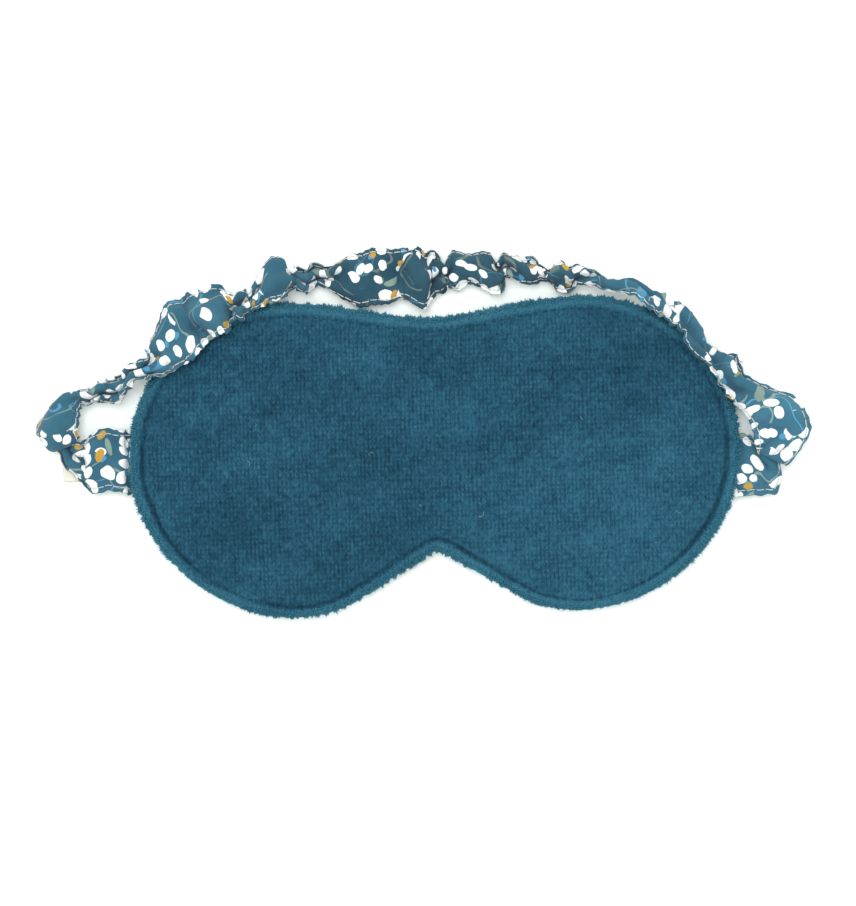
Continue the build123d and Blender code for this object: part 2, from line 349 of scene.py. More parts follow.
def print_material():
    """Plain-weave cotton with a generic scatter of ovals, stems and leaves."""
    n = Nodes("printed_cotton")
    at = n.cloth_mm()
    drawn = n.vector("ADD", at, n.wobble(at, 0.45, 1.0, 0.7))
    fade = n.noise(at, 0.09, 3.0)
    colour = n.mix(n.linear(fade, 0.3, 0.7), seen(50, 102, 124), seen(68, 124, 146))
    blue = stems(n, at, (11.0, 5.0, 0.0), 0.05, (0.007, 0.004), 0.09, (0.44, 0.5))
    colour = n.mix(blue, colour, seen(90, 165, 205))
    sage = stems(n, at, (91.0, 43.0, 0.0), 0.06, (0.012, 0.007), 0.07, (0.55, 0.5))
    colour = n.mix(sage, colour, seen(140, 166, 158))
    # painted light and shade: the strap's whole colour scaled by a value on each point, darker through its
    # middle and lighter at its right end
    colour = n.scaled(colour, n.math("ADD", n.attribute("dye"), 1.0))
    plain = n.ramp(n.math("SUBTRACT", 1.0, n.attribute("plain")), 0.45, 0.55)
    for seed, pitch, long, wide, chance, paint in (
            (1, 11.0, 4.6, 1.5, 0.26, seen(146, 172, 162)),
            (2, 6.2, 2.9, 2.1, 0.60, WHITE_INK),
            (3, 5.4, 2.4, 1.8, 0.36, WHITE_INK),
            (4, 10.0, 1.6, 1.3, 0.26, seen(86, 165, 208)),
            (5, 13.0, 2.2, 1.5, 0.34, seen(214, 170, 72))):
        mask = n.math("MULTIPLY", print_layer(n, drawn, pitch, seed, long, wide, chance), plain)
        colour = n.mix(mask, colour, paint)
    x, y, _ = n.xyz(at)
    weave = n.math("MULTIPLY", n.wave(x, YARN), n.wave(y, YARN))
    slub = n.noise(n.vector("MULTIPLY", at, (0.6, 3.0, 1.0)), 1.0, 2.0)
    slub = n.math("MULTIPLY_ADD", slub, 0.14, 0.93)
    colour = n.scaled(colour, n.math("MULTIPLY_ADD", weave, 0.035, slub))
    crumple = n.noise(at, 0.35, 3.0, 0.55)
    rough = n.bump(crumple, 0.6, 0.6)
    return n.finish(Base_Color=colour, Roughness=0.85, Normal=n.bump(weave, 0.05, 0.6, rough),
                    Sheen_Weight=0.1, Sheen_Roughness=0.5, Specular_IOR_Level=0.2)


def thread_material(name, light, dark, sheen=0.15):
    """Spun thread, with its plies as slanting stripes."""
    n = Nodes(name)
    at = n.object_mm()
    x, y, z = n.xyz(at)
    along = n.math("ADD", n.math("ADD", x, y), n.math("MULTIPLY", z, 2.0))
    ply = n.wave(along, 0.35)
    tone = n.math("MULTIPLY_ADD", ply, 0.25, n.noise(at, 0.8, 2.0))
    colour = n.mix(n.linear(tone, 0.15, 0.75), dark, light)
    return n.finish(Base_Color=colour, Roughness=0.7, Normal=n.bump(ply, 0.05, 0.7), Sheen_Weight=sheen,
                    Specular_IOR_Level=0.2)


def weave_material(name, light, dark, pitch, fluff=0.0):
    """A plain woven, knitted or felted cloth in one colour."""
    n = Nodes(name)
    at = n.object_mm()
    x, y, _ = n.xyz(at)
    weave = n.math("MULTIPLY", n.math("MULTIPLY", n.wave(x, pitch), n.wave(y, pitch)), 1.0 - fluff)
    cloud = n.noise(at, 0.3 + fluff, 3.0, 0.6)
    tone = n.math("MULTIPLY_ADD", weave, 0.22, n.linear(cloud, 0.25, 0.75))
    colour = n.mix(n.linear(tone, 0.0, 1.0), dark, light)
    height = n.math("ADD", weave, n.math("MULTIPLY", cloud, 1.0 + 3 * fluff))
    return n.finish(Base_Color=colour, Roughness=0.9, Normal=n.bump(height, 0.08 + 0.4 * fluff, 0.7),
                    Sheen_Weight=0.1 + 0.3 * fluff)


TERRY = terry_material()
PILE = pile_material()
PRINT = print_material()
WHITE_THREAD = thread_material("thread_white", (0.72, 0.74, 0.72, 1), (0.42, 0.45, 0.44, 1))
TEAL_THREAD = thread_material("thread_teal", seen(26, 68, 88), seen(12, 40, 56), sheen=0.0)
TAPE = weave_material("label_tape", (0.76, 0.77, 0.66, 1), (0.69, 0.70, 0.59, 1), 0.5)
ELASTIC = weave_material("elastic_knit", (0.7, 0.7, 0.67, 1), (0.5, 0.5, 0.47, 1), 0.9)
WADDING = weave_material("wadding_fluff", (0.74, 0.74, 0.71, 1), (0.58, 0.58, 0.55, 1), 1.5, fluff=0.8)
LINT = thread_material("lint_fibre", seen(170, 205, 210), seen(110, 160, 175))
LINING = weave_material("lining_weave", seen(44, 44, 48), seen(20, 20, 24), 0.5)


# ---- the mask's outline

SEAM_Z = 3.2
AROUND = 720  # points round a panel's outline
PERIMETER = 545  # a little over the outline's length
HALF_OUTLINE = [
    [(0, 46.2), (14, 46.2), (32, 52.3), (50, 52.3)],
    [(50, 52.3), (76, 52.3), (102.5, 33), (102.5, 0)],
    [(102.5, 0), (102.5, -28), (76, -52.8), (48, -52.8)],
    [(48, -52.8), (40, -52.8), (33.3, -50.98), (28, -47.8)],
    [(28, -47.8), (20, -43), (12, -38.2), (4, -33.4)],
    [(4, -33.4), (2.33, -32.4), (1.2, -31.6), (0, -31.6)],
]


def outline(count):
    """Evenly spaced points round the mask, clockwise from the middle of the brow edge, and inward normals."""
    t = np.linspace(0, 1, 200, endpoint=False)[:, None]
    half = []
    for a, b, c, d in HALF_OUTLINE:
        a, b, c, d = map(np.array, (a, b, c, d))
        half.append(a * (1 - t) ** 3 + 3 * b * t * (1 - t) ** 2 + 3 * c * t * t * (1 - t) + d * t ** 3)
    right = np.concatenate(half + [np.array([HALF_OUTLINE[-1][-1]], float)])
    left = right[::-1][1:-1] * (-1, 1)
    loop = np.concatenate([right, left, right[:1]])
    length = np.concatenate([[0], np.cumsum(np.linalg.norm(np.diff(loop, axis=0), axis=1))])
    s = np.linspace(0, length[-1], count, endpoint=False)
    points = np.stack([np.interp(s, length, loop[:, k]) for k in (0, 1)], 1)
    ahead = np.stack([np.interp((s + 1.5) % length[-1], length, loop[:, k]) for k in (0, 1)], 1)
    behind = np.stack([np.interp((s - 1.5) % length[-1], length, loop[:, k]) for k in (0, 1)], 1)
    way = unit(ahead - behind)
    return points, np.stack([way[:, 1], -way[:, 0]], 1)


GROOVE = 4.6  # from the edge to the topstitch groove, before it wanders


def groove_at(x, y):
    """Distance of the topstitch groove from the edge: a little less where the rim is rolled under."""
    wander = 0.35 * ripple(x, y, 9, 45) + 0.2 * ripple(x, y, 10, 13)
    return GROOVE - 0.55 + wander - 0.6 * smooth(-15, -45, y)


def groove_fade(x, y):
    """How much of the groove the pile covers: most of it along the bottoms of the lobes."""
    right, left = np.exp(-((x - 54) / 21) ** 2), np.exp(-((x + 76) / 15) ** 2)
    return (0.8 * right + 0.85 * left) * smooth(-26, -40, y)


def terry_height(d, x, y):
    """Height of the terry face at a distance from the edge: rolled rim, stitched groove, padded middle."""
    rim = SEAM_Z + 3.9 * np.sqrt(1 - (1 - np.clip(d / 3.0, 0, 1)) ** 2)
    padded = 7.1 + 1.1 * smooth(GROOVE, 14, d)
    groove = groove_at(x, y)
    inside = smooth(0, 1, (d - 2.2) / (groove - 2.2))
    z = rim * (1 - inside) + padded * inside
    pull = (1.15 + 0.35 * ripple(x, y, 2, 24)) * (1 - 0.55 * smooth(0, 35, y)) * (1 - groove_fade(x, y))
    z = z - pull * np.exp(-((d - groove) / 0.85) ** 2)
    z = z + 0.28 * ripple(x, y, 3, 26) * smooth(4, 16, d) + 0.10 * ripple(x, y, 4, 7) * smooth(1, 5, d)
    return z + 0.16 * ripple(x, y, 5, 4.2) * smooth(0.3, 2, d) * (1 - smooth(5, 8, d))


def under_height(d, x, y):
    """Height of the printed face underneath: round edge, light topstitch dents, flat where it lies."""
    rim = SEAM_Z * (1 - np.sqrt(1 - (1 - np.clip(d / 3.4, 0, 1)) ** 2))
    pucker = 0.22 * (0.5 + 0.5 * ripple(x, y, 6, 6.5)) * smooth(0.5, 3, d) * (1 - smooth(5.5, 7, d))
    z = rim + 0.45 * np.exp(-((d - groove_at(x, y)) / 0.7) ** 2) + pucker
    z = z + 0.1 * (1 + ripple(x, y, 8, 22)) * smooth(6, 14, d)
    return np.maximum(z, 0.01)


def terry_back(d, x, y):
    """The hidden side of the terry, under its pile."""
    return SEAM_Z - 0.1 + (terry_height(d, x, y) - 2.4 - SEAM_Z) * smooth(0.5, 5, d)


def under_back(d, x, y):
    """The hidden side of the printed panel."""
    return under_height(d, x, y) + 0.08 + 0.42 * smooth(0, 3, d)


MIDDLE = np.array([0.0, 6.0])


def panel(height, insets, inner_rings, count=AROUND):
    """A panel's face: rings at exact insets from the outline, then rings that close in on the middle."""
    edge, inward = outline(count)
    rings = [edge + inward * d for d in insets]
    depths = [np.full(count, float(d)) for d in insets]
    last = rings[-1]
    for k in range(1, inner_rings + 1):
        f = k / (inner_rings + 1)
        ring = last * (1 - f) + MIDDLE * f
        rings.append(ring)
        depths.append(insets[-1] + np.linalg.norm(ring - last, axis=1))
    xy = np.concatenate(rings + [MIDDLE[None]])
    depth = np.concatenate(depths + [[60.0]])
    verts = np.column_stack([xy, height(depth, xy[:, 0], xy[:, 1])])
    n = len(rings)
    faces = grid_faces(n, count)
    first = (n - 1) * count
    faces += [[first + j, first + (j + 1) % count, n * count] for j in range(count)]
    return verts, faces, depth


def closed(one, other, count=AROUND):
    """Two faces of the same outline joined along their edges into one closed shell."""
    (verts, faces, depth), (verts2, faces2, depth2) = one, other
    shift = len(verts)
    faces = faces + [[v + shift for v in f[::-1]] for f in faces2]
    faces += [[j, shift + j, shift + (j + 1) % count, (j + 1) % count] for j in range(count)]
    return np.concatenate([verts, verts2]), faces, np.concatenate([depth, depth2])


RIM_INSETS = [0, 0.12, 0.35, 0.7, 1.15, 1.7, 2.3, 2.8, 3.2, 3.55, 3.9, 4.25, 4.6, 4.95, 5.3, 5.65, 6, 6.5,
              7.2, 8, 9]
BACK_INSETS = [0, 1.2, 3.0, 5.0, 8.0]

verts, faces, depth = closed(panel(terry_height, RIM_INSETS, 62), panel(terry_back, BACK_INSETS, 9))
x, y = verts[:, 0], verts[:, 1]
terry = mesh_piece("terry_panel_soft", verts, faces, TERRY, edge_depth=depth,
                   groove_offset=np.abs(depth - groove_at(x, y)) + 0.6 * groove_fade(x, y))

UNDER_INSETS = [d * 1.1 for d in RIM_INSETS]
verts, faces, _ = closed(panel(under_height, UNDER_INSETS, 34), panel(under_back, BACK_INSETS, 9))
under = mesh_piece("print_panel_soft", verts, faces, PRINT, uv=verts[:, :2] * MM + (0.3, 0.2))

# wadding: one pad between the two faces
PAD_INSETS = [7.3, 7.8, 8.6, 10.0]
PAD_EDGE = 7.4  # nearer the outline than this, the pad is at its edge
top = panel(lambda d, x, y: np.where(d < PAD_EDGE, 3.4, terry_height(d, x, y) - 2.6), PAD_INSETS, 16, 240)
low = panel(lambda d, x, y: np.where(d < PAD_EDGE, 2.6, 1.3), PAD_INSETS, 16, 240)
verts, faces, _ = closed(top, low, 240)
pad = mesh_piece("wadding_pad", verts, faces, WADDING)


# ---- pile along the rim

def tufts(name, bases, ways, lengths, radius, material):
    """Short tapering tufts, each three-sided with a bend half way."""
    bases, ways = np.asarray(bases), unit(np.asarray(ways))
    count = len(bases)
    side = unit(np.cross(ways, (0.13, 0.31, 0.94)))
    other = np.cross(ways, side)
    lean = rng.normal(0, 0.16, (count, 3))
    turn = rng.uniform(0, 2 * math.pi, count)
    verts = []
    for level, thick in ((0.0, 1.0), (0.55, 0.75)):
        spot = bases + ways * (lengths * level)[:, None] + lean * (lengths * level ** 2)[:, None]
        for k in range(3):
            a = turn + k * 2 * math.pi / 3
            ring = side * np.cos(a)[:, None] + other * np.sin(a)[:, None]
            verts.append(spot + ring * (radius * thick)[:, None])
    verts.append(bases + ways * lengths[:, None] + lean * lengths[:, None])
    verts = np.stack(verts, 1).reshape(-1, 3)
    shape = [[0, 1, 4, 3], [1, 2, 5, 4], [2, 0, 3, 5], [3, 4, 6], [4, 5, 6], [5, 3, 6], [2, 1, 0]]
    faces = [[v + 7 * i for v in face] for i in range(count) for face in shape]
    return mesh_piece(name, verts, faces, material)


# rows of tufts, from the edge inwards: how far in, how far apart, how long, and how much they stand up
PILE_ROWS = [(0.05, 0.16, 1.35, -0.6), (0.12, 0.17, 1.6, -0.15), (0.35, 0.2, 1.45, 0.25),
             (0.75, 0.24, 1.2, 0.6), (1.3, 0.3, 1.0, 0.8), (1.9, 0.4, 0.75, 1.0)]

bases, ways, lengths, radii = [], [], [], []
for inset, spacing, length, lift in PILE_ROWS:
    edge, inward = outline(int(PERIMETER / spacing))
    count = len(edge)
    d = np.clip(inset + rng.uniform(-0.3, 0.3, count) * min(1, inset * 2), 0.02, 9)
    slip = rng.normal(0, spacing * 0.5, count)
    along = np.stack([-inward[:, 1], inward[:, 0]], 1)
    xy = edge + inward * d[:, None] + along * slip[:, None]
    z = terry_height(d, xy[:, 0], xy[:, 1]) - 0.1
    if inset < 0.1:
        z = z - rng.uniform(0, 0.9, count)
    clump = 0.8 + 0.6 * ripple(xy[:, 0], xy[:, 1], 21, 2.4) + 0.25 * ripple(xy[:, 0], xy[:, 1], 22, 14)
    clump = np.clip(clump, 0.4, 1.0) * (1 - 0.65 * groove_fade(xy[:, 0], xy[:, 1]))
    comb = 0.4 * ripple(xy[:, 0], xy[:, 1], 23, 5)
    way = np.column_stack([-inward + along * (comb + rng.normal(0, 0.2, count))[:, None],
                           np.full(count, lift) + rng.normal(0, 0.25, count)])
    bases.append(np.column_stack([xy, z]))
    ways.append(way)
    lengths.append(length * clump * rng.uniform(0.65, 1.2, count))
    radii.append(rng.uniform(0.16, 0.29, count))
pile = tufts("terry_rim_pile", np.concatenate(bases), np.concatenate(ways), np.concatenate(lengths),
             np.concatenate(radii), PILE)


# ---- the strap

CLOTH_WIDTH = 22.4
# Rungs across the strap, from its left sewn end round to its right one, in millimetres: the outer edge (the
# lower one at the left end) and the inner edge, each as x, y, z; then how much the cloth is gathered, and how
# it takes up its spare width: 0 in folds along the strap, 1 in one arch, below 0 squeezed flat at a crease.
LEFT_END = [
    (-97.8, -10.1, 3.2, -97.6, 11.5, 3.2, 0, 0),
    (-101.7, -10.1, 3.3, -101.1, 11.9, 3.3, 0.1, 0),
    (-103.8, -10.3, 2.3, -103.2, 11.8, 2.2, 0.2, 0),
    (-105.6, -9.5, 4.4, -105.2, 11.5, 4.3, 0.2, 0.2),
    (-110.8, -8.9, 4.2, -110.5, 12.2, 4.4, 0.2, 0.4),
    (-114.6, -9.7, 4.7, -114.6, 11.3, 4.7, 0.2, 0.4),
    (-117, -8.9, 3, -116.6, 9.4, 3.4, 0.2, 0.2),
    (-118.9, -6.7, 1.7, -117.8, 8.8, 2.2, 0.2, 0),
    (-121.2, -4.6, 2.6, -119.8, 7.8, 4.6, 0.3, 0),
]
MAIN = [
    (-124.7, -0.7, 2.2, -120.8, 7.2, 4.3, 0.4, 0),
    (-127.4, 4.4, 2, -121.6, 8.9, 3.4, 0.3, 0),
    (-129, 8.6, 2.1, -122.4, 11, 3, 0.3, 0),
    (-132.5, 9.2, 4.4, -119.7, 9.4, 5, 0.1, 0.8),
    (-133.9, 11.2, 4.8, -120.2, 11.6, 5.6, 0.05, 1),
    (-133.3, 14.4, 4.6, -119.6, 14, 5.8, 0.05, 1),
    (-130.3, 18.5, 4.4, -119.2, 17.2, 5.6, 0.1, 1),
    (-126.6, 22.7, 4.2, -119, 19.2, 5.4, 0.3, 0.8),
    (-121.7, 25.1, 4, -117.9, 20.1, 5, 0.6, 0.4),
    (-116.6, 25.4, 4, -115.1, 20.4, 4.6, 0.9, 0),
    (-113, 27.7, 3.8, -111.8, 21.3, 4.4, 0.9, 0),
    (-109.1, 28.9, 4.2, -108.3, 20.6, 4.4, 0.9, 0),
    (-106.4, 29.2, 5.2, -105.2, 21.6, 5.6, 0.9, 0),
    (-104, 31.4, 6.2, -102.4, 25.2, 7, 0.9, 0),
    (-101.2, 33.6, 7.6, -99.7, 27.8, 8.8, 0.9, 0),
    (-98, 34.2, 9.4, -95.5, 28.6, 10.4, 0.9, 0),
    (-96.2, 36.2, 9.2, -90.6, 29.4, 10.8, 0.7, 0),
    (-95.3, 39, 8.4, -86.6, 30.8, 10.9, 0.4, 0.2),
    (-93.2, 43.4, 7.4, -84.1, 32.3, 10.9, 0.2, 0.4),
    (-90.8, 50.1, 6.6, -80.5, 34, 10.9, 0.2, 0.5),
    (-88.7, 54.2, 6.2, -77.4, 37.1, 10.9, 0.2, 0.4),
    (-84.6, 54.9, 6, -75, 40, 9.7, 0.2, 0),
    (-82.2, 56.8, 7.4, -72.4, 41.5, 11, 0.15, 0.4),
    (-76.7, 58.8, 7.6, -70, 42.7, 11, 0.15, 0.5),
    (-70.6, 59.3, 7.8, -67.6, 43.6, 11, 0.3, 0.3),
    (-67.9, 56.6, 8.6, -66.5, 46.2, 10.9, 0.8, 0),
    (-65.8, 55, 9, -65, 48.7, 10.6, 0.9, 0),
    (-63.5, 57.2, 8.6, -63.2, 47.3, 10.8, 0.9, 0),
    (-61.2, 55.8, 9, -61, 49.4, 10.4, 0.9, 0),
    (-59.5, 58, 8.2, -58.6, 50.5, 10.4, 0.6, 0),
    (-58.2, 61, 7.2, -56.7, 51.3, 10.4, 0.3, 0.2),
    (-56.3, 64.9, 6.2, -54.3, 53, 9.7, 0.15, 0.5),
    (-52.9, 68.5, 5, -50.2, 53.8, 8.9, 0.15, 0.5),
    (-49.8, 67.9, 4.4, -47.9, 55.3, 7.4, 0.3, 0.3),
    (-47.6, 65.2, 3.8, -46, 57.6, 5.6, 0.7, 0),
    (-45.2, 64.4, 3.6, -44.4, 57, 4.8, 0.9, 0),
    (-42.2, 64.4, 3.6, -42.4, 55.8, 4.4, 0.9, 0),
    (-38.6, 66.1, 3.4, -39.3, 57.8, 4, 0.8, 0),
    (-35.6, 65, 3.2, -36.9, 58.9, 3.6, 0.8, 0),
    (-32.6, 65.4, 3.4, -34.8, 57.6, 3.3, 0.6, 0),
    (-29.2, 67.3, 3.6, -31.6, 55.3, 3.2, 0.3, 0.2),
    (-26.2, 68.6, 3.8, -28.1, 53.2, 3, 0.15, 0.5),
    (-22.9, 69.2, 4, -24.4, 51, 3, 0.1, 0.6),
    (-19.2, 70.7, 4.2, -19.4, 51.5, 3.2, 0.1, 0.5),
    (-12.9, 70, 4.2, -13.9, 51.9, 3.4, 0.15, 0.3),
    (-8.1, 70.5, 3.6, -9.7, 53.6, 3.2, 0.2, 0),
    (-4.3, 71.3, 4.2, -6.3, 51.8, 3.8, 0.15, 0.5),
    (-1.9, 68.9, 4.6, -2, 49.6, 4.2, 0.2, 0.5),
    (0.8, 69, 4, 1.2, 53.6, 3.4, 0.6, 0),
    (3.1, 68.6, 3.8, 3.6, 55.3, 3.2, 0.9, 0),
    (4.8, 63.8, 3.2, 5.7, 57, 3, 0.9, 0),
    (6.4, 67.4, 4, 8.8, 55.4, 3.4, 0.4, 0.2),
    (7.6, 69, 4.4, 10.4, 56.2, 3.6, 0.2, 0.4),
    (11.4, 68, 4.6, 13.4, 57.6, 3.6, 0.2, 0.5),
    (15.4, 68, 4.6, 17.2, 56.3, 3.8, 0.2, 0.5),
    (19.3, 68.4, 4.4, 21.2, 54, 4, 0.2, 0.4),
    (20.9, 67.2, 4, 23.9, 54.8, 3.8, 0.4, 0.2),
    (22, 64.2, 3.2, 25.4, 59.4, 3.2, 0.9, 0),
    (24, 66.9, 4, 27.4, 59.6, 3.4, 0.7, 0),
    (27, 67.6, 4.6, 31, 57.6, 3.6, 0.2, 0.5),
    (31.2, 66.2, 4.6, 34.8, 57, 3.6, 0.2, 0.5),
    (34.6, 66.4, 4.2, 37.4, 57.8, 3.4, 0.3, 0.2),
    (37.2, 63.4, 3.4, 39.6, 58, 3.2, 0.9, 0),
    (40.6, 62.2, 3.4, 42.2, 55.4, 3.6, 0.5, 0.2),
    (44, 65, 4.4, 44.8, 53.6, 4.2, 0.3, 0.3),
    (46.6, 62.6, 3.8, 47.4, 54.4, 4, 0.5, 0),
    (49.6, 63.4, 4.2, 50, 56.4, 4.2, 0.3, 0.3),
    (53.4, 61.4, 4.2, 54, 56, 5.4, 0.2, 0.3),
    (57.6, 58.8, 3.8, 58, 54.9, 7.2, 0.15, 0.3),
    (61.6, 57.2, 3.8, 62, 54, 8.6, 0.1, 0.4),
    (66.7, 55.8, 4.2, 67, 52.3, 9.4, 0.1, 0.5),
    (71.2, 54.2, 4.8, 70.9, 49.8, 9.9, 0.25, 0.5),
    (74.8, 53, 5.6, 73.8, 46.8, 10.5, 0.45, 0.4),
    (78.4, 51.7, 6.2, 77, 45, 10.7, 0.5, 0.4),
    (81.8, 50.4, 6.6, 79.2, 42.6, 10.9, 0.4, 0.5),
    (85.2, 47.9, 7, 81.6, 40.9, 10.9, 0.4, 0.5),
    (88, 44.6, 7.4, 83.6, 39.4, 10.9, 0.4, 0.4),
    (89.6, 40.9, 8, 84.2, 37.5, 10.9, 0.3, 0.4),
    (90.8, 37.6, 8.6, 85, 34.9, 10.9, 0.2, 0.5),
    (92.4, 35.2, 8.8, 87.2, 32.4, 10.8, 0.2, 0.5),
    (95.2, 33, 8.6, 90.3, 29.6, 10.7, 0.2, 0.4),
    (98.2, 31.2, 8.2, 93.2, 26.4, 10.6, 0.3, 0.2),
    (101.4, 32, 8.4, 94.8, 23.4, 10.5, 0.35, 0.2),
    (103.6, 28.6, 7.8, 96.6, 20.4, 10.4, 0.45, 0.1),
    (105, 24.8, 8, 98.4, 17.6, 10.2, 0.4, 0),
    (109.6, 21.8, 8.6, 101, 14.8, 9.8, 0.2, 0.4),
    (114.8, 19.6, 8.2, 103.5, 12.2, 9.4, 0.1, 0.6),
    (121.2, 17, 7.6, 105.7, 8.6, 9, 0.05, 0.6),
    (125.8, 9.6, 7.2, 106.9, 4.4, 8.6, 0.05, 0.5),
    (126.4, 5.2, 7.2, 107.4, 1.4, 8.2, 0.05, 0.4),
    (122.6, -1, 7.2, 107.7, 0.4, 7.8, 0, 0.2),
    (118.2, -6.2, 7.1, 108.2, -0.6, 7.2, 0, -1),
    (117.6, -5.8, 5.9, 108.5, -0.4, 6.2, 0, -1),
    (116.8, -3.2, 5.4, 108.9, 1.4, 5.7, 0, -1),
    (116.5, -3.4, 4.7, 108.9, 1.2, 5, 0, -1),
    (116.4, -6.6, 4.4, 108.6, -0.8, 4.6, 0, -1),
    (116.6, -11.2, 4.1, 108.5, -2.4, 4.2, 0.1, -0.6),
]
RIGHT_END = [
    (115.2, -15, 3.8, 108.4, -0.6, 3.9, 0.2, 0),
    (111.7, -16, 3.6, 107.6, 2.6, 3.7, 0.2, 0.3),
    (107.6, -16.1, 3.5, 106, 4.6, 3.5, 0.15, 0.4),
    (101.9, -16.4, 3.3, 102.3, 5, 3.3, 0.1, 0.2),
    (98.6, -16.6, 3.2, 99, 5.1, 3.2, 0, 0),
]


# Stretches of the strap where the print is open: x, y, then how far along and across the cloth.
PLAIN = [(-125, 18, 8, 8), (-82, 51, 7, 8), (-52, 60, 6, 7), (-6, 60, 7, 9), (66, 54, 9, 14),
         (88, 39, 9, 10), (121, 8, 4, 4)]
GATHER_PITCH = 4.8  # millimetres from one gather to the next
STITCH_INSET = 2.0  # from the casing's edge to its topstitching
OVER_TERRY = 0.85  # least height of the casing's middle surface over the terry


def through(knots, values, at):
    """A smooth curve through values at the knots, which doesn't overshoot much."""
    h = np.diff(knots)[:, None]
    slope = np.diff(values, axis=0) / h
    tangent = np.empty_like(values)
    tangent[1:-1] = (slope[:-1] * h[1:] + slope[1:] * h[:-1]) / (h[1:] + h[:-1])
    tangent[0], tangent[-1] = slope[0], slope[-1]
    i = np.clip(np.searchsorted(knots, at, side="right") - 1, 0, len(knots) - 2)
    step = h[i]
    t = ((at - knots[i])[:, None]) / step
    return ((1 + 2 * t) * (1 - t) ** 2 * values[i] + t * (1 - t) ** 2 * step * tangent[i]
            + t * t * (3 - 2 * t) * values[i + 1] + t * t * (t - 1) * step * tangent[i + 1])


def fold_angle(ratio):
    """How steeply a waving cloth turns to fit into a part of its width."""
    angles = np.linspace(0, 2.2, 60)
    wave = np.sin(np.linspace(0, 2 * math.pi, 64, endpoint=False))
    widths = np.cos(angles[:, None] * wave[None]).mean(1)
    return np.interp(-ratio, -widths, angles)


def over_mask(points):
    """The least height that keeps the strap off the terry."""
    edge, inward = outline(PERIMETER)
    flat = points.reshape(-1, 3)
    lift = np.zeros(len(flat))
    for k in range(0, len(flat), 4000):
        gap = flat[k:k + 4000, None, :2] - edge[None]
        nearest = np.argmin((gap ** 2).sum(2), axis=1)
        pick = np.arange(len(nearest))
        depth = (gap[pick, nearest] * inward[nearest]).sum(1)
        x, y = flat[k:k + 4000, 0], flat[k:k + 4000, 1]
        height = terry_height(np.maximum(depth, 0), x, y) + OVER_TERRY
        lift[k:k + 4000] = np.where(depth > -0.8, height, 0)
    return lift.reshape(points.shape[:2])


